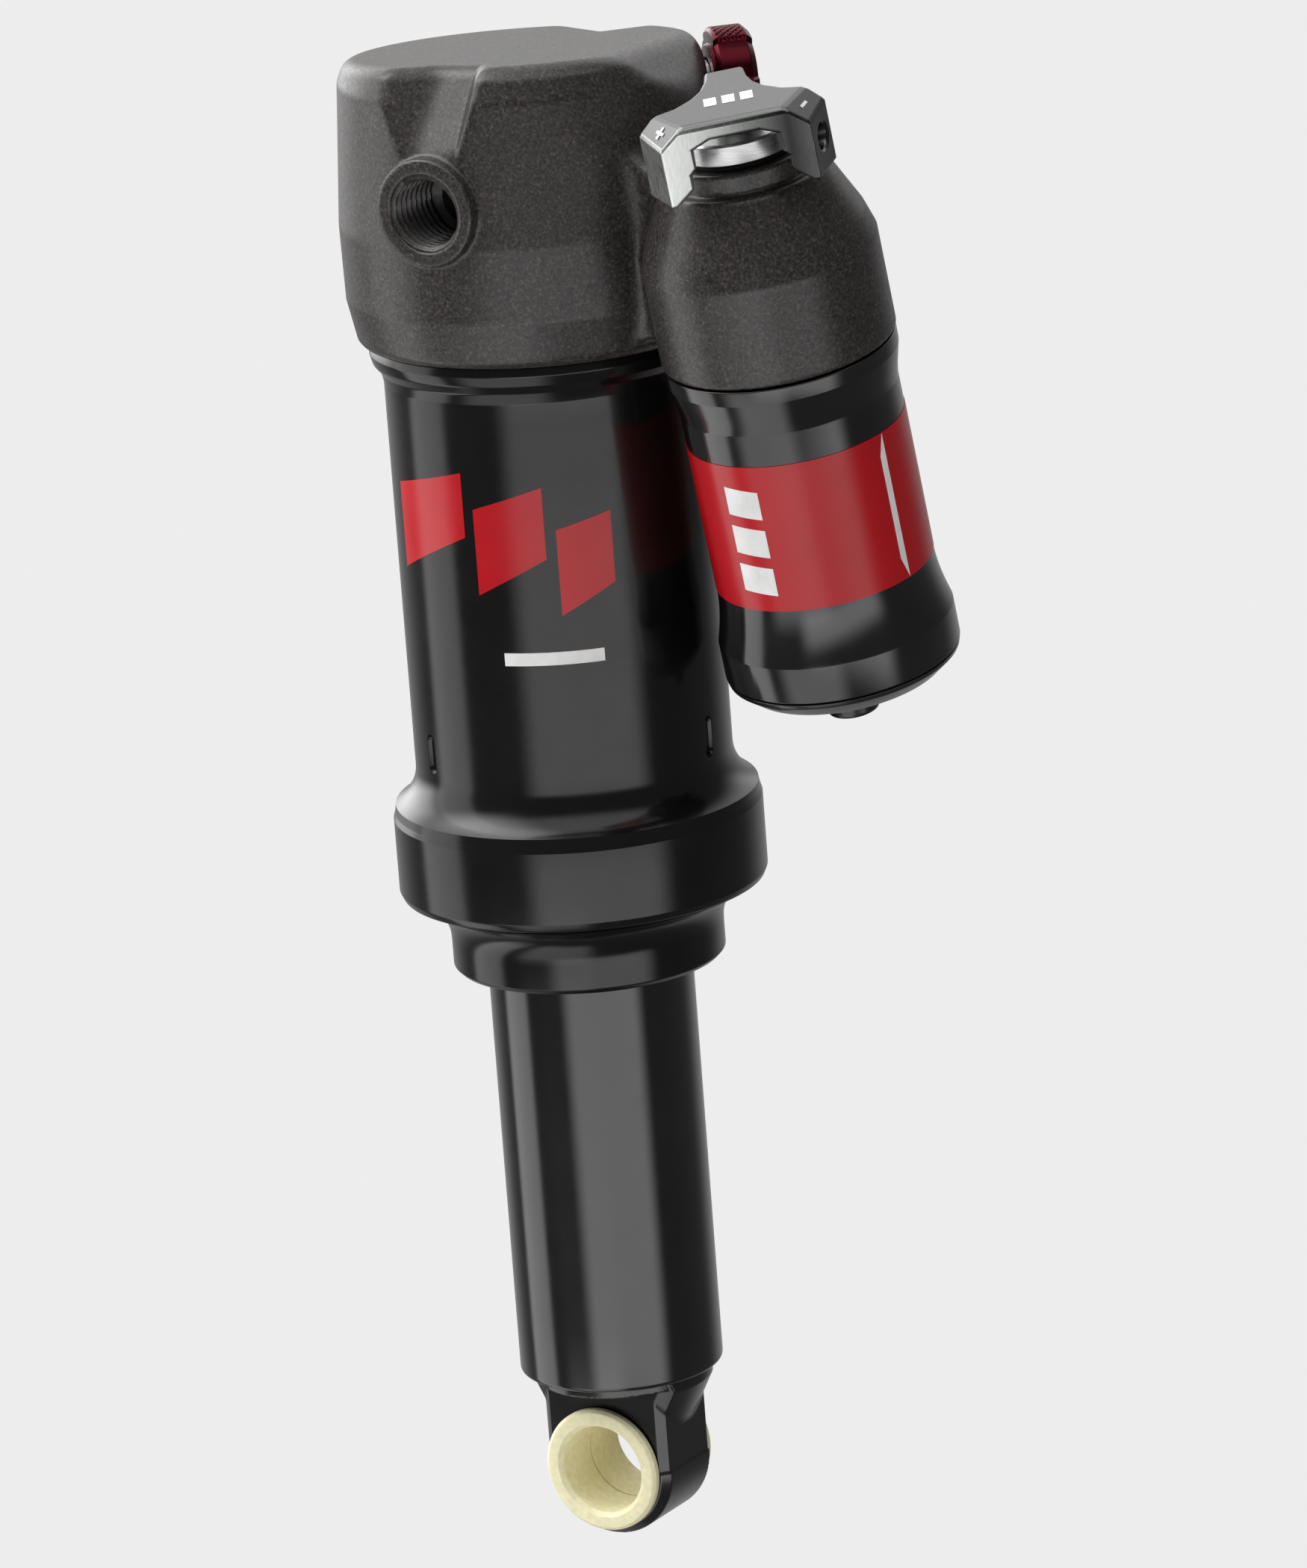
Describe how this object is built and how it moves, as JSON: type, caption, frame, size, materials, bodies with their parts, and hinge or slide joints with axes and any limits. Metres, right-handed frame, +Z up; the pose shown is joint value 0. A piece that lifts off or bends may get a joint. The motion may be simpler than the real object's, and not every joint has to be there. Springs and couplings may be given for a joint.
{
  "type": "rear shock",
  "caption": "Trunnion-mount piggyback air shock for a mountain bike, with a compression lever, a rebound knob and an eyelet foot.",
  "frame": {"origin": "centre of the trunnion axis, midway between the two trunnion faces", "axes": "+Z up along the shock, away from the eyelet; +Y along the trunnion axis; +X towards the piggyback reservoir"},
  "size_m": [0.0859, 0.0562, 0.2142],
  "materials": {
    "cast_grey": "matte speckled",
    "black_anodised": "gloss black anodised",
    "satin_aluminium": "satin",
    "red_anodised": "red anodised",
    "steel": "ground",
    "hard_chrome": "polished",
    "brass": "turned",
    "bronze_bush": "matte",
    "nitrile": "matte",
    "urethane": "matte",
    "cream_polymer": "matte",
    "white_polymer": "matte",
    "grey_plastic": "matte"
  },
  "bodies": {
    "head": {"air_can": "black_anodised", "base_valve": "satin_aluminium", "base_valve_bolt": "steel", "base_valve_nut": "steel", "base_valve_shims": "steel", "bottom_out_bumper": "urethane", "can_seal": "nitrile", "compression_shims": "steel", "damper_shaft": "hard_chrome", "gas_fill_plug": "black_anodised", "guide_bush": "bronze_bush", "head_casting": "cast_grey", "housing_seal": "nitrile", "main_piston": "satin_aluminium", "negative_bumper": "urethane", "piston_band": "bronze_bush", "piston_nut": "steel", "rebound_shims": "steel", "rebound_spindle_seal": "nitrile", "reservoir_cap": "black_anodised", "reservoir_tube": "black_anodised", "top_out_bumper": "urethane", "valve_core": "brass", "valve_stem": "brass", "volume_spacer": "grey_plastic", "wiper_housing": "black_anodised", "wiper_seal": "nitrile"},
    "sliding_seals": {"air_piston_seal": "nitrile", "air_piston_band": "white_polymer"},
    "damper_body": {"air_piston": "satin_aluminium", "shaft_bush": "bronze_bush", "shaft_seal": "nitrile", "tube_seal": "nitrile", "body_tube": "black_anodised", "eyelet": "black_anodised", "eyelet_seal": "nitrile", "near_bush": "cream_polymer", "far_bush": "cream_polymer"},
    "compression_lever": {"compression_lever": "satin_aluminium", "lever_disc": "satin_aluminium", "lever_spindle": "steel", "spindle_washer": "nitrile"},
    "compression_needle": {"compression_needle": "brass"},
    "rebound_knob": {"rebound_knob": "red_anodised", "rebound_spindle": "steel"},
    "rebound_rod": {"rebound_rod": "steel"},
    "floating_piston": {"floating_piston": "satin_aluminium", "floating_piston_seal": "nitrile"},
    "valve_cap": {"valve_cap": "grey_plastic"},
    "valve_pin": {"valve_pin": "steel"}
  },
  "joints": [
    {"name": "shock_travel", "type": "slide", "parent": "head", "child": "sliding_seals", "axis": [0, 0, 1], "range_m": [0, 0.055], "stiffness_N_per_m": 8000, "springref_m": -0.01},
    {"name": "body_twist", "type": "hinge", "parent": "sliding_seals", "child": "damper_body", "pos_m": [0, 0, -0.14], "axis": [0, 0, 1], "continuous": true},
    {"name": "lever_turn", "type": "hinge", "parent": "head", "child": "compression_lever", "pos_m": [0.0396, -0.0088, 0.0021], "axis": [-0.0309, -0.1874, 0.9818], "range_deg": [-45, 45]},
    {"name": "needle_lift", "type": "slide", "parent": "head", "child": "compression_needle", "axis": [0.0309, 0.1874, -0.9818], "range_m": [-0.0004, 0.0004]},
    {"name": "rebound_turn", "type": "hinge", "parent": "head", "child": "rebound_knob", "pos_m": [0, 0, 0.0102], "axis": [0.7193, 0.6947, 0], "range_deg": [-150, 150]},
    {"name": "rod_lift", "type": "slide", "parent": "head", "child": "rebound_rod", "axis": [0, 0, 1], "range_m": [-0.00039, 0.00039]},
    {"name": "piston_float", "type": "slide", "parent": "head", "child": "floating_piston", "axis": [0.0309, 0.1874, -0.9818], "range_m": [0, 0.00725]},
    {"name": "cap_turn", "type": "hinge", "parent": "head", "child": "valve_cap", "pos_m": [0, 0, -0.004], "axis": [-0.7071, 0.7071, 0], "continuous": true},
    {"name": "pin_press", "type": "slide", "parent": "head", "child": "valve_pin", "axis": [0.7071, -0.7071, 0], "range_m": [0, 0.0012], "stiffness_N_per_m": 500, "springref_m": -0.0005}
  ],
  "couplings": [
    {"joint": "piston_float", "follows": "shock_travel", "ratio": 0.1317},
    {"joint": "needle_lift", "follows": "lever_turn", "m_per_rad": 0.0005},
    {"joint": "rebound_turn", "follows": "rod_lift", "rad_per_m": 6700}
  ]
}
